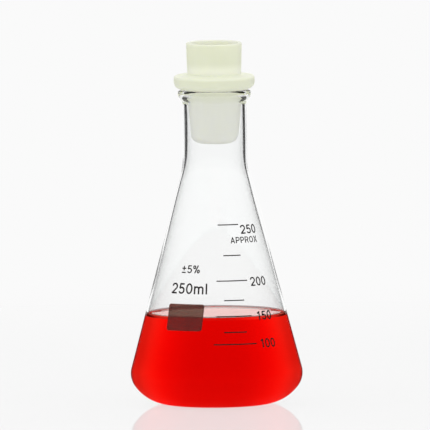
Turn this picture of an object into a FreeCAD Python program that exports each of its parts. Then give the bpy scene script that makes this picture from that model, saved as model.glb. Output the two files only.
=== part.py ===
"""Erlenmeyer flask, 250 ml, with a hollow plastic stopper, a red filling and fired enamel markings.

Row frame, millimetres: +Z up, origin at the centre of the foot. The front faces -Y and +X is on
the viewer's right. An azimuth is measured from the front, positive towards +X.
"""
import FreeCAD, Part
import math
import os
import Sketcher

Vector = FreeCAD.Vector
os.makedirs("parts", exist_ok=True)
doc = FreeCAD.newDocument("erlenmeyer_flask")

# ---------------------------------------------------------------------------------------------
# Driving dimensions: millimetres, and degrees where the name says angle, azimuth or lean
# ---------------------------------------------------------------------------------------------
DIMENSIONS = {
    # glass, outside
    "rim_height": 149.4,
    "foot_radius": 22.1,
    "heel_low_radius": 20.6,
    "heel_high_radius": 10.3,
    "cone_base_radius": 45.05,   # where the cone's line would meet the foot plane
    "cone_angle": 14.8,
    "shoulder_radius": 33,
    "neck_radius": 15.25,
    "bead_radius": 17.4,
    "bead_round": 1.5,
    "bead_under_round": 5.2,
    "throat_round": 2,
    # glass, inside
    "cone_wall": 1.1,
    "neck_wall": 1.8,
    "base_thickness": 2.4,
    "cavity_heel_radius": 9.9,
    "lip_round": 1.1,
    "punt_height": 1,
    "punt_radius": 17,
    # filling
    "liquid_level": 43.6,
    "liquid_gap": 0.02,
    # stopper
    "seat_gap": 0.65,
    "plug_length": 25.8,
    "plug_radius": 13.25,
    "plug_tip_radius": 11.1,
    "plug_round": 4.5,
    "flange_radius": 19.2,
    "flange_edge_height": 6.2,
    "flange_height": 7,
    "flange_under_round": 3.3,
    "flange_top_round": 1.2,
    "stopper_height": 172,
    "tube_radius": 12.85,
    "tube_rim_radius": 13.2,
    "stopper_wall": 1.7,
    "stopper_floor": 2,
    "tube_root_round": 0.8,
    "tube_rim_round": 0.4,
    "stopper_lean": 2,           # how far the stopper sits out of square, towards the front
    # enamel
    "enamel": 0.08,
    "line_width": 0.5,
    "patch_azimuth": -26.8,
    "patch_width": 18.6,
    "patch_bottom": 37.4,
    "patch_height": 12.5,
    "patch_round": 1.2,
}

# each printed line: its height, and the azimuths where it starts and ends
MAJOR_LINES = {
    "100": (31.2, -2, 31),
    "150": (44.2, 0, 30),
    "200": (60.7, 0.5, 30.5),
    "250": (86.8, 2.6, 29),
}
MINOR_LINES = {
    "125": (36.8, 6, 24),
    "175": (51.6, 7, 25),
    "225": (72.5, 8, 27),
}

# each mark: its text, and the letters' height, the height they stand at and the azimuth they start at
SCALE_NUMBERS = [
    ("100", 4.2, 29.1, 34.6),
    ("150", 4.2, 41.9, 35.2),
    ("200", 4.2, 57.9, 33.8),
    ("250", 4.2, 82.3, 31),
]
CAPACITY = ("250ml", 5, 54.6, -43.6)
TOLERANCE = ("±5%", 3.7, 64.3, -35.4)
APPROXIMATE = ("APPROX", 2.9, 78.1, 17)

sheet = doc.addObject("Spreadsheet::Sheet", "dims")
for row, (name, size) in enumerate(DIMENSIONS.items(), start=1):
    sheet.set(f"A{row}", name)
    sheet.set(f"B{row}", str(size))
    sheet.setAlias(f"B{row}", name)
doc.recompute()


def value(expression):
    """The number that an expression over the sheet's cells gives."""
    return float(sheet.evalExpression(expression))


# ---------------------------------------------------------------------------------------------
# Sketch helpers: every sketch lies in the XZ plane, with its x the radius and its y the height
# ---------------------------------------------------------------------------------------------
ORIGIN = (-1, 1)    # Sketcher's own numbers for the root point and the vertical axis
HEIGHT_AXIS = -2


def new_body(label):
    body = doc.addObject("PartDesign::Body", label)
    body.Label = label
    return body


def profile_sketch(body, name):
    sketch = body.newObject("Sketcher::SketchObject", name)
    plane = next(item for item in body.Origin.OriginFeatures if item.Role == "XZ_Plane")
    sketch.AttachmentSupport = [(plane, "")]
    sketch.MapMode = "FlatFace"
    return sketch


def bind(sketch, kind, *where, to):
    """Add a dimension and bind it to an expression over the sheet."""
    number = sketch.addConstraint(Sketcher.Constraint(kind, *where, value(to)))
    sketch.setExpression(f"Constraints[{number}]", to)


def place(sketch, geometry, end, radius, height):
    """Hold one end of a line at a radius and a height."""
    if radius == "0":
        sketch.addConstraint(Sketcher.Constraint("PointOnObject", geometry, end, HEIGHT_AXIS))
    else:
        bind(sketch, "DistanceX", *ORIGIN, geometry, end, to=radius)
    if height == "0":
        sketch.addConstraint(Sketcher.Constraint("PointOnObject", geometry, end, -1))
    else:
        bind(sketch, "DistanceY", *ORIGIN, geometry, end, to=height)


def polygon(body, name, corners):
    """A closed outline through corners given as (radius, height) expressions."""
    sketch = profile_sketch(body, name)
    points = [Vector(value(radius), value(height), 0) for radius, height in corners]
    count = len(corners)
    for i in range(count):
        sketch.addGeometry(Part.LineSegment(points[i], points[(i + 1) % count]), False)
    for i in range(count):
        sketch.addConstraint(Sketcher.Constraint("Coincident", i, 2, (i + 1) % count, 1))
    for i, (radius, height) in enumerate(corners):
        place(sketch, i, 1, radius, height)
    return sketch


def arc(centre, radius, start, end):
    """A sketch arc; angles in radians, counter-clockwise."""
    return Part.ArcOfCircle(Part.Circle(centre, Vector(0, 0, 1), radius), start, end)


def revolve(body, sketch, name, kind="PartDesign::Revolution"):
    feature = body.newObject(kind, name)
    feature.Profile = sketch
    feature.ReferenceAxis = (sketch, ["V_Axis"])
    feature.Angle = 360
    sketch.Visibility = False
    doc.recompute()
    return feature


def ring_edge(shape, radius, height):
    """The name of the circular edge nearest to a radius and a height."""
    def miss(edge):
        return math.hypot(edge.Curve.Radius - radius, edge.Curve.Center.z - height)

    rings = [(miss(edge), i) for i, edge in enumerate(shape.Edges, start=1)
             if not edge.Degenerated and isinstance(edge.Curve, Part.Circle)
             and abs(edge.Curve.Axis.z) > 0.99]
    return f"Edge{min(rings)[1]}"


def round_ring(body, name, radius, height, size):
    """Round the circular edge at a radius and a height; all three are expressions."""
    base = body.Tip
    feature = body.newObject("PartDesign::Fillet", name)
    feature.Base = (base, [ring_edge(base.Shape, value(radius), value(height))])
    feature.Radius = value(size)
    feature.setExpression("Radius", size)
    doc.recompute()
    return feature


# ---------------------------------------------------------------------------------------------
# The flask's outline, used three times: outside, cavity and filling
# ---------------------------------------------------------------------------------------------
CONE_INSIDE = "dims.cone_base_radius - dims.cone_wall / cos(dims.cone_angle)"

OUTSIDE = {
    "floor": "0",
    "low": "dims.heel_low_radius",
    "high": "dims.heel_high_radius",
    "cone": "dims.cone_base_radius",
    "shoulder": "dims.shoulder_radius",
    "neck": "dims.neck_radius",
    "top": "dims.rim_height",
}
CAVITY = {
    "floor": "dims.base_thickness",
    "low": "dims.heel_low_radius - dims.base_thickness",
    "high": "dims.cavity_heel_radius",
    "cone": CONE_INSIDE,
    "shoulder": "dims.shoulder_radius + dims.cone_wall",
    "neck": "dims.neck_radius - dims.neck_wall",
    "top": "dims.rim_height + 1",
}
FILLING = {
    "floor": "dims.base_thickness + dims.liquid_gap",
    "low": "dims.heel_low_radius - dims.base_thickness - dims.liquid_gap",
    "high": "dims.cavity_heel_radius - dims.liquid_gap",
    "cone": CONE_INSIDE + " - dims.liquid_gap / cos(dims.cone_angle)",
    "top": "dims.liquid_level",
}


def heel(number):
    """The centres of the two heel arcs and the angle at which they meet."""
    slope = math.radians(value("dims.cone_angle"))
    normal = Vector(math.cos(slope), math.sin(slope), 0)
    low_centre = Vector(value("dims.foot_radius"), number["floor"] + number["low"], 0)
    reach = number["low"] - number["high"]
    cone_distance = number["cone"] * normal.x - number["high"] - low_centre.dot(normal)
    meet = slope + math.asin(cone_distance / reach)
    high_centre = low_centre + Vector(math.sin(meet), -math.cos(meet), 0) * reach
    return low_centre, high_centre, meet, normal


def flask_outline(body, name, size):
    """Floor, two heel arcs, cone, and then a shoulder and neck if the size has them."""
    sketch = profile_sketch(body, name)
    number = {role: value(expression) for role, expression in size.items()}
    low_centre, high_centre, meet, normal = heel(number)
    slope = math.radians(value("dims.cone_angle"))
    foot = Vector(low_centre.x, number["floor"], 0)
    cone_start = high_centre + normal * number["high"]
    floor, low, high, cone = range(4)
    has_neck = "neck" in size
    if has_neck:
        hollow = number["neck"] + number["shoulder"]
        gap = (hollow - cone_start.x) * normal.x
        centre_height = cone_start.y + (number["shoulder"] - gap) / normal.y
        shoulder_centre = Vector(hollow, centre_height, 0)
        cone_end = shoulder_centre - normal * number["shoulder"]
    else:
        end_radius = number["cone"] - number["top"] * math.tan(slope)
        cone_end = Vector(end_radius, number["top"], 0)
    sketch.addGeometry(Part.LineSegment(Vector(0, number["floor"], 0), foot), False)
    sketch.addGeometry(arc(low_centre, number["low"], -math.pi / 2, meet - math.pi / 2), False)
    sketch.addGeometry(arc(high_centre, number["high"], meet - math.pi / 2, slope), False)
    sketch.addGeometry(Part.LineSegment(cone_start, cone_end), False)
    sketch.addConstraint(Sketcher.Constraint("Horizontal", floor))
    place(sketch, floor, 1, "0", size["floor"])
    bind(sketch, "DistanceX", *ORIGIN, floor, 2, to="dims.foot_radius")
    for one, other in ((floor, low), (low, high), (high, cone)):
        sketch.addConstraint(Sketcher.Constraint("Tangent", one, 2, other, 1))
    bind(sketch, "Radius", low, to=size["low"])
    bind(sketch, "Radius", high, to=size["high"])
    if has_neck:
        shoulder, neck = 4, 5
        turn = arc(shoulder_centre, number["shoulder"], math.pi, math.pi + slope)
        neck_start = Vector(number["neck"], centre_height, 0)
        neck_end = Vector(number["neck"], number["top"], 0)
        sketch.addGeometry(turn, False)
        sketch.addGeometry(Part.LineSegment(neck_start, neck_end), False)
        sketch.addConstraint(Sketcher.Constraint("Tangent", cone, 2, shoulder, 2))
        sketch.addConstraint(Sketcher.Constraint("Tangent", shoulder, 1, neck, 1))
        bind(sketch, "Radius", shoulder, to=size["shoulder"])
        bind(sketch, "DistanceX", *ORIGIN, neck, 2, to=size["neck"])
        last, last_end = neck, neck_end
    else:
        last, last_end = cone, cone_end
    # the cone's line passes through cone_base_radius on the foot plane
    mark = sketch.addGeometry(Part.Point(Vector(number["cone"], 0, 0)), True)
    place(sketch, mark, 1, size["cone"], "0")
    sketch.addConstraint(Sketcher.Constraint("PointOnObject", mark, 1, cone))
    bind(sketch, "Angle", cone, to="(90 + dims.cone_angle) * pi / 180 * 1 rad")
    # close along the top and down the axis
    axis_top = Vector(0, number["top"], 0)
    top = sketch.addGeometry(Part.LineSegment(last_end, axis_top), False)
    down = sketch.addGeometry(Part.LineSegment(axis_top, Vector(0, number["floor"], 0)), False)
    sketch.addConstraint(Sketcher.Constraint("Coincident", last, 2, top, 1))
    sketch.addConstraint(Sketcher.Constraint("Coincident", top, 2, down, 1))
    sketch.addConstraint(Sketcher.Constraint("Coincident", down, 2, floor, 1))
    sketch.addConstraint(Sketcher.Constraint("Horizontal", top))
    place(sketch, top, 2, "0", size["top"])
    return sketch


# ---------------------------------------------------------------------------------------------
# Glass
# ---------------------------------------------------------------------------------------------
def bead_outline(body):
    """The rolled rim: flat on top, a small round outside and a larger one underneath."""
    sketch = profile_sketch(body, "bead_outline")
    inner = "dims.neck_radius - dims.neck_wall / 2"
    widest = "dims.rim_height - dims.bead_round"
    top_centre = Vector(value("dims.bead_radius - dims.bead_round"), value(widest), 0)
    under_radius = value("dims.bead_under_round")
    under_centre = Vector(value("dims.bead_radius") - under_radius, value(widest), 0)
    across = value(inner) - under_centre.x
    stop = math.acos(across / under_radius)
    foot = under_centre + Vector(across, -under_radius * math.sin(stop), 0)
    corner = Vector(value(inner), value("dims.rim_height"), 0)
    top_start = Vector(top_centre.x, corner.y, 0)
    side, flat, over, under = range(4)
    sketch.addGeometry(Part.LineSegment(foot, corner), False)
    sketch.addGeometry(Part.LineSegment(corner, top_start), False)
    sketch.addGeometry(arc(top_centre, value("dims.bead_round"), 0, math.pi / 2), False)
    sketch.addGeometry(arc(under_centre, under_radius, -stop, 0), False)
    sketch.addConstraint(Sketcher.Constraint("Vertical", side))
    sketch.addConstraint(Sketcher.Constraint("Horizontal", flat))
    sketch.addConstraint(Sketcher.Constraint("Coincident", side, 2, flat, 1))
    sketch.addConstraint(Sketcher.Constraint("Tangent", flat, 2, over, 2))
    sketch.addConstraint(Sketcher.Constraint("Tangent", over, 1, under, 2))
    sketch.addConstraint(Sketcher.Constraint("Coincident", under, 1, side, 1))
    place(sketch, side, 2, inner, "dims.rim_height")
    bind(sketch, "Radius", over, to="dims.bead_round")
    bind(sketch, "Radius", under, to="dims.bead_under_round")
    bind(sketch, "DistanceX", *ORIGIN, over, 1, to="dims.bead_radius")
    bind(sketch, "DistanceY", *ORIGIN, over, 1, to=widest)
    return sketch


def punt_outline(body):
    """The shallow hollow under the base: an arc that is level on the axis."""
    sketch = profile_sketch(body, "punt_outline")
    rise = value("dims.punt_height")
    reach = value("dims.punt_radius")
    radius = (reach * reach + rise * rise) / (2 * rise)
    centre = Vector(0, rise - radius, 0)
    edge = Vector(reach, 0, 0)
    start = math.asin((radius - rise) / radius)
    sketch.addGeometry(arc(centre, radius, start, math.pi / 2), False)
    sketch.addGeometry(Part.LineSegment(Vector(0, rise, 0), Vector(0, 0, 0)), False)
    sketch.addGeometry(Part.LineSegment(Vector(0, 0, 0), edge), False)
    hollow, down, across = range(3)
    sketch.addConstraint(Sketcher.Constraint("Coincident", hollow, 2, down, 1))
    sketch.addConstraint(Sketcher.Constraint("Coincident", down, 2, across, 1))
    sketch.addConstraint(Sketcher.Constraint("Coincident", across, 2, hollow, 1))
    sketch.addConstraint(Sketcher.Constraint("Coincident", across, 1, *ORIGIN))
    sketch.addConstraint(Sketcher.Constraint("PointOnObject", hollow, 3, HEIGHT_AXIS))
    place(sketch, down, 1, "0", "dims.punt_height")
    place(sketch, across, 2, "dims.punt_radius", "0")
    return sketch


def flask_body():
    body = new_body("flask_body")
    revolve(body, flask_outline(body, "outside_outline", OUTSIDE), "outside")
    revolve(body, bead_outline(body), "bead")
    crease = value("dims.bead_radius - dims.bead_under_round")
    drop = math.sqrt(value("dims.bead_under_round") ** 2 - (value("dims.neck_radius") - crease) ** 2)
    junction = f"dims.rim_height - dims.bead_round - {drop:.6f}"
    round_ring(body, "throat", "dims.neck_radius", junction, "dims.throat_round")
    revolve(body, flask_outline(body, "cavity_outline", CAVITY), "cavity", "PartDesign::Groove")
    revolve(body, punt_outline(body), "punt", "PartDesign::Groove")
    round_ring(body, "lip", CAVITY["neck"], "dims.rim_height", "dims.lip_round")
    return body


def liquid():
    body = new_body("liquid")
    revolve(body, flask_outline(body, "filling_outline", FILLING), "filling")
    return body


# ---------------------------------------------------------------------------------------------
# Stopper
# ---------------------------------------------------------------------------------------------
SEAT = "dims.rim_height + dims.seat_gap"
PLUG_TIP = SEAT + " - dims.plug_length"
FLANGE_EDGE = SEAT + " + dims.flange_edge_height"
FLANGE_TOP = SEAT + " + dims.flange_height"
POCKET_FLOOR = PLUG_TIP + " + dims.stopper_floor"


def stopper():
    body = new_body("stopper")
    corners = [
        ("0", PLUG_TIP),
        ("dims.plug_tip_radius", PLUG_TIP),
        ("dims.plug_radius", SEAT),
        ("dims.flange_radius", SEAT),
        ("dims.flange_radius", FLANGE_EDGE),
        ("dims.tube_radius", FLANGE_TOP),
        ("dims.tube_rim_radius", "dims.stopper_height"),
        ("dims.tube_rim_radius - dims.stopper_wall", "dims.stopper_height"),
        ("dims.tube_radius - dims.stopper_wall", SEAT),
        ("dims.plug_tip_radius - dims.stopper_wall", POCKET_FLOOR),
        ("0", POCKET_FLOOR),
    ]
    revolve(body, polygon(body, "stopper_outline", corners), "turned_shape")
    round_ring(body, "tip_round", "dims.plug_tip_radius", PLUG_TIP, "dims.plug_round")
    round_ring(body, "flange_under", "dims.flange_radius", SEAT, "dims.flange_under_round")
    round_ring(body, "flange_top", "dims.flange_radius", FLANGE_EDGE, "dims.flange_top_round")
    round_ring(body, "tube_root", "dims.tube_radius", FLANGE_TOP, "dims.tube_root_round")
    rim = "dims.tube_rim_radius"
    for name, radius in (("rim_outside", rim), ("rim_inside", rim + " - dims.stopper_wall")):
        round_ring(body, name, radius, "dims.stopper_height", "dims.tube_rim_round")
    # pressed in by hand, it leans about the middle of its seat
    lean = FreeCAD.Rotation(Vector(1, 0, 0), value("dims.stopper_lean"))
    body.Placement = FreeCAD.Placement(Vector(), lean, Vector(0, 0, value(SEAT)))
    return body


# ---------------------------------------------------------------------------------------------
# Enamel: thin pieces that lie on the cone, each cut from one conical skin
# ---------------------------------------------------------------------------------------------
def cone(name, extra):
    """The glass cone's solid, from the foot plane up, thickened by an expression."""
    solid = doc.addObject("Part::Cone", name)
    radius = f"dims.cone_base_radius + ({extra}) / cos(dims.cone_angle)"
    height = "dims.cone_base_radius * 2"
    solid.setExpression("Height", height)
    solid.setExpression("Radius1", radius)
    solid.setExpression("Radius2", f"{radius} - {height} * tan(dims.cone_angle)")
    return solid


def enamel_skin():
    skin = doc.addObject("Part::Cut", "enamel_skin")
    skin.Base = cone("skin_outside", "dims.enamel")
    skin.Tool = cone("skin_inside", "0")
    doc.recompute()
    return skin


def turn(azimuth, height=0):
    """A placement that faces an azimuth."""
    return FreeCAD.Placement(Vector(0, 0, height), FreeCAD.Rotation(Vector(0, 0, 1), azimuth))


def graduations(label, skin, lines):
    """Level lines across the cone: thin round sectors cut from the skin."""
    sectors = []
    for mark, (level, start, end) in lines.items():
        sector = doc.addObject("Part::Cylinder", f"sector_{mark}")
        sector.setExpression("Radius", "dims.cone_base_radius")
        sector.setExpression("Height", "dims.line_width")
        sector.Angle = end - start
        sector.Placement = turn(start - 90, level - value("dims.line_width") / 2)
        sectors.append(sector)
    fan = doc.addObject("Part::MultiFuse", f"{label}_fan")
    fan.Shapes = sectors
    scale = doc.addObject("Part::Common", label)
    scale.Base = skin
    scale.Tool = fan
    scale.Label = label
    return scale


def writing_patch(skin):
    """The block of enamel that is written on: a rectangle with rounded corners."""
    block = doc.addObject("Part::Box", "patch_block")
    block.setExpression("Length", "dims.patch_width")
    block.setExpression("Height", "dims.patch_height")
    block.setExpression("Width", "dims.cone_base_radius / 2")
    corner = Vector(-value("dims.patch_width") / 2, -value("dims.cone_base_radius"), 0)
    facing = turn(value("dims.patch_azimuth"), value("dims.patch_bottom"))
    block.Placement = facing.multiply(FreeCAD.Placement(corner, FreeCAD.Rotation()))
    doc.recompute()
    rounded = doc.addObject("Part::Fillet", "patch_rounded")
    rounded.Base = block
    radius = value("dims.patch_round")
    rounded.Edges = [(i, radius, radius) for i, edge in enumerate(block.Shape.Edges, start=1)
                     if abs(edge.Length - block.Width.Value) < 1e-6]
    patch = doc.addObject("Part::Common", "writing_patch")
    patch.Base = skin
    patch.Tool = rounded
    patch.Label = "writing_patch"
    return patch


# Letters are strokes of one pen, drawn on a cell one unit tall: x runs right and the second
# number up. Each stroke is a bar through points, a bow (arc in degrees) or a ring (ellipse).
def bar(*points):
    return ("bar", points)


def bow(x, up, radius, start, end):
    return ("bow", (x, up, radius, start, end))


def ring(x, up, half_width, half_height):
    return ("ring", (x, up, half_width, half_height))


PEN = 0.15
LETTER_GAP = 0.15
LETTERS = {
    "0": (0.66, [ring(0.33, 0.5, 0.26, 0.43)]),
    "1": (0.5, [bar((0.08, 0.74), (0.32, 0.92), (0.32, 0))]),
    "2": (0.66, [
        bow(0.33, 0.67, 0.26, -38, 172),
        bar((0.535, 0.51), (0.09, 0.075), (0.64, 0.075)),
    ]),
    "5": (0.66, [
        bar((0.58, 0.925), (0.18, 0.925), (0.12, 0.5)),
        bow(0.33, 0.335, 0.26, -158, 142),
    ]),
    "%": (0.94, [
        ring(0.21, 0.76, 0.13, 0.17),
        ring(0.73, 0.24, 0.13, 0.17),
        bar((0.25, 0), (0.69, 1)),
    ]),
    "±": (0.66, [
        bar((0.04, 0.6), (0.62, 0.6)),
        bar((0.33, 0.31), (0.33, 0.89)),
        bar((0.04, 0.075), (0.62, 0.075)),
    ]),
    "A": (0.78, [
        bar((0.06, 0), (0.39, 0.93), (0.72, 0)),
        bar((0.18, 0.3), (0.6, 0.3)),
    ]),
    "P": (0.7, [
        bar((0.08, 0), (0.08, 0.925), (0.38, 0.925)),
        bow(0.38, 0.68, 0.245, -90, 90),
        bar((0.38, 0.435), (0.08, 0.435)),
    ]),
    "R": (0.74, [
        bar((0.08, 0), (0.08, 0.925), (0.4, 0.925)),
        bow(0.4, 0.69, 0.235, -90, 90),
        bar((0.08, 0.455), (0.42, 0.455), (0.66, 0)),
    ]),
    "O": (0.86, [ring(0.43, 0.5, 0.35, 0.43)]),
    "X": (0.74, [
        bar((0.06, 0), (0.68, 1)),
        bar((0.06, 1), (0.68, 0)),
    ]),
    "m": (0.96, [
        bar((0.08, 0), (0.08, 0.74)),
        bow(0.28, 0.47, 0.2, 0, 180),
        bar((0.48, 0.47), (0.48, 0)),
        bow(0.68, 0.47, 0.2, 0, 180),
        bar((0.88, 0.47), (0.88, 0)),
    ]),
    "l": (0.22, [bar((0.11, 0), (0.11, 1))]),
}


def flat(x, up):
    return Vector(x, 0, up)


FACING = Vector(0, 1, 0)    # the letters' plane faces along Y


def bar_faces(points, pen):
    """A band along each stretch, and a disc at each bend."""
    faces = []
    for start, end in zip(points, points[1:]):
        along = flat(*end) - flat(*start)
        side = along.cross(FACING).normalize() * (pen / 2)
        corners = [flat(*start) + side, flat(*end) + side, flat(*end) - side, flat(*start) - side]
        faces.append(Part.Face(Part.makePolygon(corners + corners[:1])))
    for bend in points[1:-1]:
        faces.append(Part.Face(Part.Wire(Part.makeCircle(pen / 2, flat(*bend), FACING))))
    return faces


def bow_faces(x, up, radius, start, end, pen):
    """A band along an arc."""
    def spot(distance, degrees):
        angle = math.radians(degrees)
        return flat(x + distance * math.cos(angle), up + distance * math.sin(angle))

    middle = (start + end) / 2
    outer, inner = radius + pen / 2, radius - pen / 2
    edges = [
        Part.Arc(spot(outer, start), spot(outer, middle), spot(outer, end)).toShape(),
        Part.makeLine(spot(outer, end), spot(inner, end)),
        Part.Arc(spot(inner, end), spot(inner, middle), spot(inner, start)).toShape(),
        Part.makeLine(spot(inner, start), spot(outer, start)),
    ]
    return [Part.Face(Part.Wire(edges))]


def ring_faces(x, up, half_width, half_height, pen):
    """A band around an ellipse that is taller than it is wide."""
    def oval(grow):
        top = flat(x, up + half_height + grow)
        side = flat(x + half_width + grow, up)
        return Part.Face(Part.Wire(Part.Ellipse(top, side, flat(x, up)).toShape()))

    return [oval(pen / 2).cut(oval(-pen / 2))]


def letter(character, height, depth):
    """One letter as a prism, centred on x = 0 and running back from y = 0."""
    width, strokes = LETTERS[character]
    bands = []
    for kind, shape in strokes:
        if kind == "bar":
            bands += bar_faces(shape, PEN)
        elif kind == "bow":
            bands += bow_faces(*shape, PEN)
        else:
            bands += ring_faces(*shape, PEN)
    prisms = [band.extrude(FACING * (depth / height)) for band in bands]
    solid = prisms[0].multiFuse(prisms[1:]) if len(prisms) > 1 else prisms[0]
    solid.translate(Vector(-width / 2, 0, 0))
    solid.scale(height)
    return solid, width * height


def lettering(text, height, bottom, azimuth, skin):
    """A line of letters round the cone, starting at an azimuth, cut from the skin."""
    cone_radius = value(f"dims.cone_base_radius - {bottom + height / 2} * tan(dims.cone_angle)")
    depth = value("dims.cone_base_radius - dims.neck_radius / 2")
    pieces = []
    for character in text:
        solid, width = letter(character, height, depth)
        azimuth += math.degrees(width / 2 / cone_radius)
        solid.translate(Vector(0, -value("dims.cone_base_radius"), bottom))
        solid.rotate(Vector(0, 0, 0), Vector(0, 0, 1), azimuth)
        pieces += skin.Shape.common(solid).Solids
        azimuth += math.degrees((width / 2 + LETTER_GAP * height) / cone_radius)
    return pieces


def printed(label, pieces):
    item = doc.addObject("Part::Feature", label)
    item.Label = label
    item.Shape = Part.makeCompound(pieces)
    return item


def scale_numerals(skin):
    pieces = []
    for number in SCALE_NUMBERS:
        pieces += lettering(*number, skin)
    return printed("scale_numerals", pieces)


# ---------------------------------------------------------------------------------------------
# Build, check and write
# ---------------------------------------------------------------------------------------------
skin = enamel_skin()
pieces = [
    flask_body(),
    liquid(),
    stopper(),
    graduations("major_graduations", skin, MAJOR_LINES),
    graduations("minor_graduations", skin, MINOR_LINES),
    writing_patch(skin),
    scale_numerals(skin),
    printed("capacity_mark", lettering(*CAPACITY, skin)),
    printed("tolerance_mark", lettering(*TOLERANCE, skin)),
    printed("approx_mark", lettering(*APPROXIMATE, skin)),
]
doc.recompute()

for item in doc.Objects:
    if "Invalid" in item.State or "Error" in item.State:
        raise RuntimeError(f"{item.Label} did not recompute: {item.State}")
for piece in pieces:
    if piece.Shape.isNull() or not piece.Shape.isValid():
        raise RuntimeError(f"{piece.Label} has no valid shape")
for piece in pieces:
    piece.Shape.exportStep(f"parts/{piece.Label}.step")
    print(f"{piece.Label}: {len(piece.Shape.Solids)} solids, {piece.Shape.Volume:.3f} mm3")
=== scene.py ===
"""Erlenmeyer flask with a hollow plastic stopper and a red filling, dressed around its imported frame.

Lengths are millimetres until they reach a mesh, and the frame is in metres. +Z is up and the
printed scale faces -Y. The glass, the filling and the stopper are turned again here from their
outlines, much finer than the frame's own meshes; the enamel markings are the frame's.
"""
import math
import bpy
from mathutils import Matrix, Vector

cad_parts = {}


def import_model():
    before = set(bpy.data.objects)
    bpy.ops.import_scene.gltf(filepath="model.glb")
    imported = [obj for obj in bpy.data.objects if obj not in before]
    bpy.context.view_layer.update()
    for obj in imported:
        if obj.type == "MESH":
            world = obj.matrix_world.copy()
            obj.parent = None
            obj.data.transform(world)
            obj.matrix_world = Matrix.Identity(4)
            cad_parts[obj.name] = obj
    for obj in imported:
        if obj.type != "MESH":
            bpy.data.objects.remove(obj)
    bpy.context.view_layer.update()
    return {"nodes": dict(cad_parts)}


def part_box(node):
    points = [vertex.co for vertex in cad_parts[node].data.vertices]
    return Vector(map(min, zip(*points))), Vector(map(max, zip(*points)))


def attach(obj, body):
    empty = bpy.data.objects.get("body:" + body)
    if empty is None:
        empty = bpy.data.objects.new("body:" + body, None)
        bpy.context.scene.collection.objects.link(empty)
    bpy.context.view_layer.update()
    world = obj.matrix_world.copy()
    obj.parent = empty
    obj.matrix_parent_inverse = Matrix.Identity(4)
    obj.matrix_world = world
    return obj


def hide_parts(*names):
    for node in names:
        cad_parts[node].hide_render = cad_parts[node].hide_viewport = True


MM = 0.001

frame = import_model()


# ---------------------------------------------------------------------------------------------
# Sizes of the turned pieces, as in the design
# ---------------------------------------------------------------------------------------------
# glass
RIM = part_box("flask_body")[1].z / MM
NECK = 15.25
BORE = 13.45
CONE_ANGLE = math.radians(14.8)
CONE_BASE = 45.05                # where the cone's line would meet the foot plane
CONE_WALL = 1.1
FOOT = 22.1
BASE = 2.4
PUNT = 17.0
PUNT_RISE = 1.0
HEEL_LOW = 20.6
HEEL_HIGH = 10.3
CAVITY_HEEL = 9.9
SHOULDER = 33.0
BEAD = 17.4
BEAD_ROUND = 1.5
BEAD_UNDER = 5.2
THROAT = 2.0
LIP = 1.1

# stopper
SEAT = RIM + 0.65                # where the flange starts, and what the stopper leans about
LEAN = math.radians(2)
PLUG = 13.25
PLUG_TIP = 11.1
PLUG_LENGTH = 25.8
PLUG_ROUND = 4.5
FLANGE = 19.2
FLANGE_EDGE = 6.2                # how far above the seat the flange's edge ends
FLANGE_TOP = 7
FLANGE_UNDER_ROUND = 3.3
FLANGE_TOP_ROUND = 1.2
TUBE = 12.85
TUBE_RIM = 13.2
TUBE_ROOT_ROUND = 0.8
TUBE_RIM_ROUND = 0.4
STOPPER_TOP = 172
STOPPER_WALL = 1.7
STOPPER_FLOOR = 2

# filling, finer than the design: it climbs the glass at its edge
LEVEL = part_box("liquid")[1].z / MM - 0.35    # the flat middle of its surface
CLIMB = 0.8                      # how far the edge climbs
CLIMB_FADE = 0.8                 # the climb falls off over this distance
CLIMB_REACH = 9.0                # how far in it is drawn
CLIMB_STEPS = 40
CLIMB_CROWDING = 1.6             # above 1, its points crowd towards the wall
CONTACT = LEVEL + CLIMB
SOAK = 0.12                      # how far the filling reaches into the glass

# mesh fineness
SEGMENTS = 288
ARC_STEP = math.radians(4)
LINE_STEP = 2.5
SAME_POINT = 1e-4
ON_AXIS = 1e-6


# ---------------------------------------------------------------------------------------------
# Outlines: lists of (radius, height)
# ---------------------------------------------------------------------------------------------
def arc(centre, radius, start, end):
    """Points along an arc from one angle to another, in radians."""
    steps = max(2, math.ceil(abs(end - start) / ARC_STEP))
    angles = [start + (end - start) * i / steps for i in range(steps + 1)]
    return [(centre[0] + radius * math.cos(a), centre[1] + radius * math.sin(a)) for a in angles]


def stretch(start, end):
    """Points along a straight line, both ends included."""
    count = max(1, math.ceil(math.dist(start, end) / LINE_STEP))
    return [(start[0] + (end[0] - start[0]) * i / count, start[1] + (end[1] - start[1]) * i / count)
            for i in range(count + 1)]


def join(*runs):
    """One outline from several, without repeated points."""
    points = []
    for run in runs:
        for point in run:
            if not points or math.dist(points[-1], point) > SAME_POINT:
                points.append(point)
    return points


def heel(floor, low, high, cone):
    """Two arcs, from the edge of a floor at this height to where the cone starts.
    cone is the cone's radius at the foot plane."""
    normal = (math.cos(CONE_ANGLE), math.sin(CONE_ANGLE))
    low_centre = (FOOT, floor + low)
    reach = low - high
    across = cone * normal[0] - high - low_centre[0] * normal[0] - low_centre[1] * normal[1]
    meet = CONE_ANGLE + math.asin(across / reach)
    high_centre = (low_centre[0] + reach * math.sin(meet), low_centre[1] - reach * math.cos(meet))
    turn = meet - math.pi / 2
    return join(arc(low_centre, low, -math.pi / 2, turn), arc(high_centre, high, turn, CONE_ANGLE))


def inner_heel(soak=0.0):
    """The inside of the heel, moved into the glass by soak: (points, cone)."""
    floor = BASE - soak
    cone = CONE_BASE - (CONE_WALL - soak) / math.cos(CONE_ANGLE)
    return heel(floor, HEEL_LOW - floor, CAVITY_HEEL + soak, cone), cone


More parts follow.
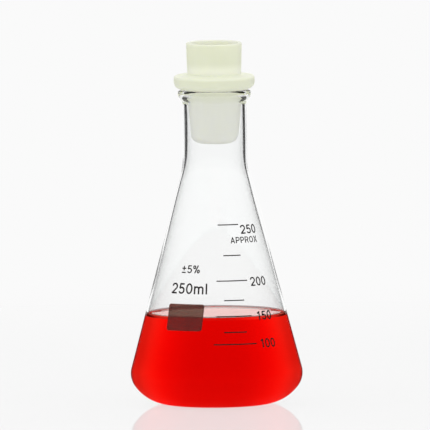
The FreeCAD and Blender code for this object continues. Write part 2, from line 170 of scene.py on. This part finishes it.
def shoulder_and_neck(start, shoulder, neck, top):
    """From the cone's start up to the top of the neck."""
    normal = (math.cos(CONE_ANGLE), math.sin(CONE_ANGLE))
    hollow = neck + shoulder
    centre_height = start[1] + (shoulder - (hollow - start[0]) * normal[0]) / normal[1]
    turn = arc((hollow, centre_height), shoulder, math.pi + CONE_ANGLE, math.pi)
    return join(stretch(start, turn[0]), turn, stretch(turn[-1], (neck, top)))


def bead():
    """The throat, the rolled rim and its lip, from the outside of the neck to the bore."""
    top_centre = (BEAD - BEAD_ROUND, RIM - BEAD_ROUND)
    under_centre = (BEAD - BEAD_UNDER, RIM - BEAD_ROUND)
    throat_radius = NECK + THROAT
    drop = math.sqrt((BEAD_UNDER + THROAT) ** 2 - (throat_radius - under_centre[0]) ** 2)
    throat_centre = (throat_radius, under_centre[1] - drop)
    slant = math.atan2(drop, under_centre[0] - throat_radius)
    return join(
        arc(throat_centre, THROAT, math.pi, slant),
        arc(under_centre, BEAD_UNDER, slant - math.pi, 0),
        arc(top_centre, BEAD_ROUND, 0, math.pi / 2),
        arc((BORE + LIP, RIM - LIP), LIP, math.pi / 2, math.pi),
    )


def punt():
    """The shallow dome under the foot, from the axis outwards."""
    radius = (PUNT ** 2 + PUNT_RISE ** 2) / (2 * PUNT_RISE)
    half = math.asin(PUNT / radius)
    return join([(0, PUNT_RISE)], arc((0, PUNT_RISE - radius), radius, math.pi / 2, math.pi / 2 - half))


def glass_outline():
    """In two parts: from the axis under the foot up to the bore at the rim, and back down inside."""
    outside = heel(0, HEEL_LOW, HEEL_HIGH, CONE_BASE)
    rim = bead()
    inside = inner_heel()[0]
    up = shoulder_and_neck(outside[-1], SHOULDER, NECK, rim[0][1])
    down = shoulder_and_neck(inside[-1], SHOULDER + CONE_WALL, BORE, rim[-1][1])
    foot = stretch((PUNT, 0), (FOOT, 0))
    floor = stretch((FOOT, BASE), (0, BASE))
    return join(punt(), foot, outside, up, rim), join(reversed(down), reversed(inside), floor)


def filling_outline():
    """Inside the glass up to the contact line, then down the climbing edge to the flat surface."""
    wet, cone = inner_heel(SOAK)
    wall = (cone - CONTACT * math.tan(CONE_ANGLE), CONTACT)
    surface = []
    for i in range(CLIMB_STEPS + 1):
        inward = CLIMB_REACH * (i / CLIMB_STEPS) ** CLIMB_CROWDING
        surface.append((wall[0] - inward, LEVEL + CLIMB * math.exp(-inward / CLIMB_FADE)))
    bottom = stretch((0, BASE - SOAK), (FOOT, BASE - SOAK))
    middle = stretch((surface[-1][0], LEVEL), (0, LEVEL))
    return join(bottom, wet, stretch(wet[-1], wall), surface, middle)


def rounded(corners):
    """An outline through (radius, height, rounding) corners, each corner an arc."""
    points = [corners[0][:2]]
    for before, corner, after in zip(corners, corners[1:], corners[2:]):
        here, size = Vector(corner[:2]), corner[2]
        if size == 0:
            points.append(tuple(here))
            continue
        back = (Vector(before[:2]) - here).normalized()
        on = (Vector(after[:2]) - here).normalized()
        half = back.angle(on) / 2
        centre = here + (back + on).normalized() * (size / math.sin(half))
        first = here + back * (size / math.tan(half)) - centre
        last = here + on * (size / math.tan(half)) - centre
        turn = first.angle_signed(last)
        start = math.atan2(first.y, first.x)
        points += arc(centre, size, start, start - turn)
    points.append(corners[-1][:2])
    return points


def stopper_outline():
    """Plug, flange and tube, then down the inside; square to the axis."""
    seat_round, throat_round, well_round = 0.5, 6, 1.5
    tip = SEAT - PLUG_LENGTH
    well = tip + STOPPER_FLOOR
    return rounded([
        (0, tip, 0),
        (PLUG_TIP, tip, PLUG_ROUND),
        (PLUG, SEAT, seat_round),
        (FLANGE, SEAT, FLANGE_UNDER_ROUND),
        (FLANGE, SEAT + FLANGE_EDGE, FLANGE_TOP_ROUND),
        (TUBE, SEAT + FLANGE_TOP, TUBE_ROOT_ROUND),
        (TUBE_RIM, STOPPER_TOP, TUBE_RIM_ROUND),
        (TUBE_RIM - STOPPER_WALL, STOPPER_TOP, TUBE_RIM_ROUND),
        (TUBE - STOPPER_WALL, SEAT, throat_round),
        (PLUG_TIP - STOPPER_WALL, well, well_round),
        (0, well, 0),
    ])


# ---------------------------------------------------------------------------------------------
# Turned meshes
# ---------------------------------------------------------------------------------------------
def turned(name, outline, uneven=None):
    """A closed solid of revolution from an outline that starts and ends on the axis.
    uneven(radius, height, azimuth) gives a small change to the radius."""
    verts, faces, rings = [], [], []
    for radius, height in outline:
        first = len(verts)
        if radius < ON_AXIS:
            verts.append((0, 0, height * MM))
            rings.append([first] * SEGMENTS)
            continue
        for k in range(SEGMENTS):
            azimuth = 2 * math.pi * k / SEGMENTS
            r = radius + (uneven(radius, height, azimuth) if uneven else 0)
            verts.append((r * math.sin(azimuth) * MM, -r * math.cos(azimuth) * MM, height * MM))
        rings.append(list(range(first, first + SEGMENTS)))
    for low, high in zip(rings, rings[1:]):
        for k in range(SEGMENTS):
            n = (k + 1) % SEGMENTS
            corners = (low[k], low[n], high[n], high[k])
            faces.append(tuple(dict.fromkeys(corners)))
    mesh = bpy.data.meshes.new(name)
    mesh.from_pydata(verts, [], faces)
    mesh.shade_smooth()
    mesh.update()
    piece = bpy.data.objects.new(name, mesh)
    bpy.context.scene.collection.objects.link(piece)
    return piece


def leaning(piece):
    """Turn the stopper's mesh about X, through the middle of its seat: its top comes forward."""
    centre = Matrix.Translation((0, 0, SEAT * MM))
    piece.data.transform(centre @ Matrix.Rotation(LEAN, 4, "X") @ centre.inverted())
    return piece


def ramp(low, high, x):
    """0 below low, 1 above high, smooth between."""
    t = min(1, max(0, (x - low) / (high - low)))
    return t * t * (3 - 2 * t)


def blown(height, azimuth):
    """The slow unevenness of a blown inside wall: none at the floor, rim or filling."""
    depth = 0.035
    share = ramp(48, 60, height) * (1 - ramp(RIM - 12, RIM - 4, height))
    wave = math.sin(3 * azimuth + height * 0.07) + 0.6 * math.sin(5 * azimuth - height * 0.11 + 1.3)
    band = 0.5 * math.sin(height * 0.19 + 0.8 * math.sin(2 * azimuth))
    return depth * share * (wave + band)


# ---------------------------------------------------------------------------------------------
# Materials
# ---------------------------------------------------------------------------------------------
GLASS_IOR = 1.473
WATER_IOR = 1.333
NEARLY_AIR = 0.9999              # bends nothing; below 1, so an export doesn't take it for the water's
CLEAR = (1, 1, 1)


class Nodes:
    """A node tree with short ways to add to it."""

    def __init__(self, tree):
        self.tree = tree
        tree.nodes.clear()

    def add(self, kind, values=None, **settings):
        """A new node. values are for its inputs, by name or number; settings are its own."""
        node = self.tree.nodes.new(kind)
        for key, setting in settings.items():
            setattr(node, key, setting)
        for key, value in (values or {}).items():
            self.feed(value, node.inputs[key])
        return node

    def feed(self, value, target):
        """A number, a colour or another node's output into an input."""
        if isinstance(value, bpy.types.NodeSocket):
            self.tree.links.new(value, target)
        elif target.type == "RGBA":
            target.default_value = (*value, 1)
        else:
            target.default_value = value

    # numbers and vectors
    def maths(self, operation, *values):
        return self.add("ShaderNodeMath", dict(enumerate(values)), operation=operation).outputs[0]

    def times(self, first, second):
        """The product; of two yes-or-no values, 1 where both are 1."""
        return self.maths("MULTIPLY", first, second)

    def no(self, value):
        """1 where a yes-or-no value is 0, and 0 where it is 1."""
        return self.maths("SUBTRACT", 1.0, value)

    def above(self, value, limit):
        return self.maths("GREATER_THAN", value, limit)

    def smooth(self, value, low, high, start=0.0, end=1.0):
        """From start at low to end at high."""
        values = {"Value": value, "From Min": low, "From Max": high, "To Min": start, "To Max": end}
        return self.add("ShaderNodeMapRange", values, interpolation_type="SMOOTHSTEP").outputs[0]

    def lerp(self, share, first, second):
        """A share of the second number over the first."""
        values = {0: share, 2: first, 3: second}
        return self.add("ShaderNodeMix", values, data_type="FLOAT").outputs[0]

    def vector(self, operation, first, second):
        return self.add("ShaderNodeVectorMath", {0: first, 1: second}, operation=operation).outputs[0]

    def dot(self, first, second):
        values = {0: first, 1: second}
        return self.add("ShaderNodeVectorMath", values, operation="DOT_PRODUCT").outputs["Value"]

    def length(self, vector):
        return self.add("ShaderNodeVectorMath", {0: vector}, operation="LENGTH").outputs["Value"]

    def split(self, vector):
        return self.add("ShaderNodeSeparateXYZ", {0: vector}).outputs

    # textures
    def place(self):
        return self.add("ShaderNodeTexCoord").outputs["Object"]

    def noise(self, vector, scale, detail):
        values = {"Vector": vector, "Scale": scale, "Detail": detail}
        return self.add("ShaderNodeTexNoise", values).outputs[0]

    def blend(self, share, first, second):
        """A share of the second colour over the first."""
        values = {0: share, 6: first, 7: second}
        return self.add("ShaderNodeMix", values, data_type="RGBA").outputs[2]

    def bump(self, height, distance):
        values = {"Height": height, "Distance": distance, "Strength": 1.0}
        return self.add("ShaderNodeBump", values).outputs[0]

    # shaders
    def principled(self, **values):
        named = {key.replace("_", " "): value for key, value in values.items()}
        return self.add("ShaderNodeBsdfPrincipled", named).outputs[0]

    def shader(self, kind, colour, **values):
        return self.add(kind, {"Color": colour, **values}).outputs[0]

    def transparent(self, colour=CLEAR):
        return self.shader("ShaderNodeBsdfTransparent", colour)

    def refraction(self, colour, ior):
        """Bends light and mirrors none."""
        return self.shader("ShaderNodeBsdfRefraction", colour, Roughness=0.0, IOR=ior)

    def mix(self, share, first, second):
        """A share of the second shader over the first."""
        return self.add("ShaderNodeMixShader", {0: share, 1: first, 2: second}).outputs[0]

    def finish(self, surface, volume=None):
        out = self.add("ShaderNodeOutputMaterial", {"Surface": surface})
        if volume is not None:
            self.feed(volume, out.inputs["Volume"])

    # the ray and the surface that it meets
    def path(self, name):
        return self.add("ShaderNodeLightPath").outputs[name]

    def leaving(self):
        """1 where the ray meets the surface from inside the piece."""
        return self.add("ShaderNodeNewGeometry").outputs["Backfacing"]

    def true_side(self):
        """The surface's own outward direction, whichever side the ray comes from."""
        normal = self.add("ShaderNodeNewGeometry").outputs["Normal"]
        sign = self.maths("MULTIPLY_ADD", self.leaving(), -2.0, 1.0)
        return self.add("ShaderNodeVectorMath", {0: normal, "Scale": sign}, operation="SCALE").outputs[0]

    def scattered(self):
        """1 for light that has already left a matt surface, which is let straight through glass."""
        return self.above(self.path("Diffuse Depth"), 0.5)

    def filled(self):
        """1 for light that has come through the filling. It has then passed at least three clear
        faces: the inside of the glass, the side of the filling and the outside of the glass."""
        unbent = self.above(self.path("Transparent Depth"), 2.5)
        return self.times(unbent, self.no(self.scattered()))


def material(name):
    made = bpy.data.materials.new(name)
    made.use_nodes = True
    return made, Nodes(made.node_tree)


def glass_material():
    """Clear glass that mirrors less than real glass, and hardly at all beside the filling. Below
    the contact line light bends only on its way in: real walls would trap some of it, which would
    show as black patches. Light that leaves by the top of the rim is unbent for the same reason."""
    mirrorless_dry, mirrorless_wet = 0.55, 0.97
    made, nodes = material("borosilicate")
    place = nodes.place()
    height = nodes.split(place)[2]
    outward = nodes.vector("SUBTRACT", place, (0, 0, LEVEL * MM / 2))
    outside = nodes.above(nodes.dot(nodes.true_side(), outward), 0.0)
    arriving = nodes.times(outside, nodes.no(nodes.leaving()))
    wet = nodes.maths("LESS_THAN", height, CONTACT * MM)
    soft_wet = nodes.smooth(height, (CONTACT - 2) * MM, CONTACT * MM, 1.0, 0.0)
    mirrorless = nodes.times(arriving, nodes.lerp(soft_wet, mirrorless_dry, mirrorless_wet))
    level_face = nodes.above(nodes.split(nodes.true_side())[2], 0.5)
    rim_top = nodes.times(level_face, nodes.above(height, (RIM - 3) * MM))
    unbent = nodes.maths("MAXIMUM", nodes.times(wet, nodes.no(arriving)),
                         nodes.times(rim_top, nodes.leaving()))
    film = nodes.noise(place, 90, 3)
    body = nodes.principled(
        Base_Color=(0.99, 0.997, 0.995),
        Roughness=nodes.smooth(film, 0.45, 0.8, 0.0, 0.012),
        IOR=GLASS_IOR,
        Transmission_Weight=1.0,
    )
    surface = nodes.mix(mirrorless, body, nodes.refraction(CLEAR, GLASS_IOR))
    surface = nodes.mix(unbent, surface, nodes.transparent())
    nodes.finish(nodes.mix(nodes.scattered(), surface, nodes.transparent((0.985, 0.985, 0.985))))
    return made


def filling_material():
    """Red water. Its sides bend light from the glass, and its top bends light from the air. Most
    of the red goes on as light enters its sides, and the rest builds up on the way through."""
    side_tint = (1, 0.1, 0.07)
    steep_tint, shallow_tint = (1, 0.4, 0.35), (1, 0.8, 0.75)
    # the near and far line colours are painted shade along the contact line
    near_line_painted_shade, far_line_painted_shade = (0.1, 0.004, 0.005), (0.66, 0.86, 0.86)
    dye, dye_density = (0.947, 0.51, 0.44), 90
    made, nodes = material("red_filling")
    height = nodes.split(nodes.place())[2]
    upward = nodes.split(nodes.true_side())[2]
    entering = nodes.no(nodes.leaving())
    sides = nodes.mix(nodes.leaving(), nodes.refraction(side_tint, WATER_IOR / GLASS_IOR),
                      nodes.transparent())
    grazing = nodes.times(nodes.add("ShaderNodeFresnel", {"IOR": WATER_IOR}).outputs[0], entering)
    tint = nodes.blend(nodes.smooth(grazing, 0.03, 0.3), steep_tint, shallow_tint)
    water = nodes.shader("ShaderNodeBsdfGlass", tint, Roughness=0.0, IOR=WATER_IOR)
    mirror = nodes.shader("ShaderNodeBsdfGlossy", CLEAR, Roughness=0.0)
    top = nodes.mix(nodes.times(grazing, grazing), water, mirror)
    surface = nodes.mix(nodes.above(upward, 0.45), sides, top)
    # the climbing edge, in painted shade: a grey line on its slope, and a dark line where its wall is
    # met from outside
    surface = nodes.mix(nodes.above(height, (LEVEL + 0.08) * MM), surface,
                        nodes.refraction(far_line_painted_shade, NEARLY_AIR))
    wall = nodes.times(nodes.maths("LESS_THAN", upward, 0.3), entering)
    contact = nodes.times(wall, nodes.above(height, (LEVEL - 0.3) * MM))
    surface = nodes.mix(contact, surface, nodes.transparent(near_line_painted_shade))
    density = nodes.maths("MULTIPLY_ADD", nodes.scattered(), -dye_density, dye_density)
    volume = nodes.shader("ShaderNodeVolumeAbsorption", dye, Density=density)
    nodes.finish(nodes.mix(nodes.scattered(), surface, nodes.transparent()), volume)
    return made


def stopper_material():
    """Cloudy plastic with a fine grain, with painted light: paler in the plug and inside, and a painted
    highlight round the tube's root.
    """
    dull, bright = (0.73, 0.755, 0.61), (0.77, 0.79, 0.64)
    # the plug, root and inner colours are painted light, paler than the plastic itself
    plug_painted_light, root_painted_highlight, inner_painted_light = (0.82, 0.83, 0.755), (0.88, 0.9, 0.76), (0.86, 0.875, 0.76)
    root_low, root_middle, root_high = SEAT + 4, SEAT + 8, SEAT + 13
    made, nodes = material("frosted_polyethylene")
    place = nodes.place()
    height = nodes.split(place)[2]
    cloud = nodes.noise(place, 70, 3)
    grain = nodes.noise(place, 2600, 2)
    colour = nodes.blend(cloud, dull, bright)
    # painted light: the plug, seen through the glass, is made paler and more neutral
    plug = nodes.smooth(height, (RIM - 6) * MM, RIM * MM, 1.0, 0.0)
    colour = nodes.blend(plug, colour, plug_painted_light)
    # painted highlight round the tube's root, above the flange
    root = nodes.times(nodes.smooth(height, root_low * MM, root_middle * MM),
                       nodes.smooth(height, root_middle * MM, root_high * MM, 1.0, 0.0))
    colour = nodes.blend(root, colour, root_painted_highlight)
    # painted light: the inside of the tube is made paler
    from_axis = nodes.vector("MULTIPLY", place, (1, 1, 0))
    inner = nodes.smooth(nodes.dot(nodes.true_side(), from_axis), -6 * MM, -1 * MM, 1.0, 0.0)
    colour = nodes.blend(inner, colour, inner_painted_light)
    nodes.finish(nodes.principled(
        Base_Color=colour,
        Roughness=nodes.smooth(cloud, 0.3, 0.7, 0.42, 0.5),
        IOR=1.5,
        Subsurface_Weight=0.8,
        Subsurface_Scale=3 * MM,
        Subsurface_Radius=(1.0, 1.0, 0.8),
        Normal=nodes.bump(grain, 0.02 * MM),
    ))
    return made


def print_material():
    """Dark brown enamel, slightly speckled."""
    made, nodes = material("print_enamel")
    speck = nodes.noise(nodes.place(), 1500, 2)
    nodes.finish(nodes.principled(
        Base_Color=nodes.blend(speck, (0.012, 0.008, 0.007), (0.025, 0.017, 0.015)),
        Roughness=0.38,
        Normal=nodes.bump(speck, 0.02 * MM),
    ))
    return made


def patch_material():
    """The writing patch: matt brown enamel, thin enough to let some light through."""
    see_through = 0.42
    made, nodes = material("patch_enamel")
    speck = nodes.noise(nodes.place(), 1200, 3)
    body = nodes.principled(
        Base_Color=nodes.blend(speck, (0.05, 0.018, 0.015), (0.07, 0.024, 0.019)),
        Roughness=nodes.smooth(speck, 0.3, 0.7, 0.5, 0.65),
        Normal=nodes.bump(speck, 0.03 * MM),
    )
    nodes.finish(nodes.mix(see_through, body, nodes.transparent((0.89, 0.76, 0.66))))
    return made


# ---------------------------------------------------------------------------------------------
# The object
# ---------------------------------------------------------------------------------------------
def dress(piece, made):
    piece.data.materials.clear()
    piece.data.materials.append(made)


def put(piece, node, body, made):
    """A turned piece stands for a CAD node and rides on its body."""
    dress(piece, made)
    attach(piece, body)
    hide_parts(node)


def build_object():
    outside, inside = glass_outline()
    wall = set(inside)

    def uneven(radius, height, azimuth):
        return blown(height, azimuth) if (radius, height) in wall else 0

    glass = turned("glass_flask", outside + inside, uneven)
    filling = turned("red_filling", filling_outline())
    stopper = leaning(turned("plastic_stopper", stopper_outline()))
    put(glass, "flask_body", "flask", glass_material())
    put(filling, "liquid", "flask", filling_material())
    put(stopper, "stopper", "stopper", stopper_material())
    ink = print_material()
    for node in ("major_graduations", "minor_graduations", "scale_numerals", "capacity_mark",
                 "tolerance_mark", "approx_mark"):
        dress(frame["nodes"][node], ink)
    dress(frame["nodes"]["writing_patch"], patch_material())


# ---------------------------------------------------------------------------------------------
# Stage: floor, world and camera
# ---------------------------------------------------------------------------------------------
def floor():
    """Pale and slightly glossy, fading out all round. It isn't seen through the filling."""
    half = 0.9
    drop = 0.0001                # clear of the foot
    shine = 0.27
    fade_start, fade_end = 0.3, 0.7
    mesh = bpy.data.meshes.new("floor")
    corners = [(-half, -half, 0), (half, -half, 0), (half, half, 0), (-half, half, 0)]
    mesh.from_pydata(corners, [], [(0, 1, 2, 3)])
    piece = bpy.data.objects.new("floor", mesh)
    piece.location.z = -drop
    bpy.context.scene.collection.objects.link(piece)
    made, nodes = material("pale_floor")
    paper = nodes.shader("ShaderNodeBsdfDiffuse", (0.93, 0.93, 0.93))
    gloss = nodes.shader("ShaderNodeBsdfGlossy", (0.8, 0.8, 0.8), Roughness=0.03)
    faded = nodes.smooth(nodes.length(nodes.place()), fade_start, fade_end)
    hidden = nodes.maths("MAXIMUM", faded, nodes.filled())
    nodes.finish(nodes.mix(hidden, nodes.mix(shine, paper, gloss), nodes.transparent()))
    mesh.materials.append(made)


def through_filling(nodes, turn):
    """How bright the surroundings are for light that came through the filling, by how far to the
    side it comes from: brightest a little off the axis, then falling away."""
    deg = math.radians
    rise = nodes.smooth(turn, deg(3), deg(13.5), 0.98, 1.24)
    fall = nodes.smooth(turn, deg(13.5), deg(24), 1.0, 0.72)
    edge = nodes.smooth(turn, deg(25.5), deg(38), 1.0, 0.15)
    return nodes.times(rise, nodes.times(fall, edge))


def world():
    """A bright field behind the object and overhead, and dark to the sides and in front. It is
    laid out around the camera, so glass shows dark edges from every side. Light through the
    filling sees its own brightness, and less green and blue towards the axis."""
    deg = math.radians
    backdrop = 0.956             # as the camera sees it
    fill_light = 1.06            # the least that light from a matt surface meets
    dark = 0.02
    gain_per_face = 0.012        # makes up for what each face takes from light that passes it
    made = bpy.data.worlds.new("studio")
    bpy.context.scene.world = made
    made.use_nodes = True
    made.cycles.sampling_method = "NONE"
    nodes = Nodes(made.node_tree)
    right, up, ahead = nodes.split(nodes.add("ShaderNodeTexCoord").outputs["Camera"])
    turn = nodes.maths("ARCTAN2", nodes.maths("ABSOLUTE", right), ahead)
    field = nodes.smooth(turn, deg(21), deg(29), 1.0, dark)
    overhead = nodes.smooth(up, math.sin(deg(50)), math.sin(deg(68)))
    level = nodes.maths("MAXIMUM", field, overhead)
    filled = nodes.filled()
    level = nodes.lerp(filled, level, through_filling(nodes, turn))
    gain = nodes.maths("MULTIPLY_ADD", nodes.path("Transmission Depth"), gain_per_face, 1.0)
    level = nodes.times(level, gain)
    level = nodes.lerp(nodes.scattered(), level, nodes.maths("MAXIMUM", level, fill_light))
    level = nodes.lerp(nodes.path("Is Camera Ray"), level, backdrop)
    tint = nodes.blend(nodes.smooth(turn, deg(9), deg(19), 0.25, 1.0), (1, 0, 0), CLEAR)
    colour = nodes.blend(filled, CLEAR, tint)
    back = nodes.shader("ShaderNodeBackground", colour, Strength=level)
    nodes.add("ShaderNodeOutputWorld", {"Surface": back})


def camera():
    """A long lens, slightly above the object and turned half a degree about its own axis."""
    elevation, roll = math.radians(4.6), math.radians(-0.5)
    away, frame_width = 6.5, 0.20425
    centre = Vector((-0.00017, 0, 0.0898))
    data = bpy.data.cameras.new("camera")
    data.sensor_width = 36
    data.lens = data.sensor_width * away / frame_width
    data.clip_end = 20
    piece = bpy.data.objects.new("camera", data)
    bpy.context.scene.collection.objects.link(piece)
    back = Vector((0, -math.cos(elevation), math.sin(elevation)))
    turn = (-back).to_track_quat("-Z", "Y").to_matrix().to_4x4()
    piece.matrix_world = Matrix.Translation(centre + back * away) @ turn @ Matrix.Rotation(roll, 4, "Z")
    bpy.context.scene.camera = piece


build_object()
floor()
world()
camera()
bpy.context.scene.view_settings.view_transform = "Standard"
bounces = bpy.context.scene.cycles
bounces.max_bounces = 24
bounces.transmission_bounces = 24
bounces.glossy_bounces = 12
bounces.diffuse_bounces = 6
bounces.transparent_max_bounces = 24
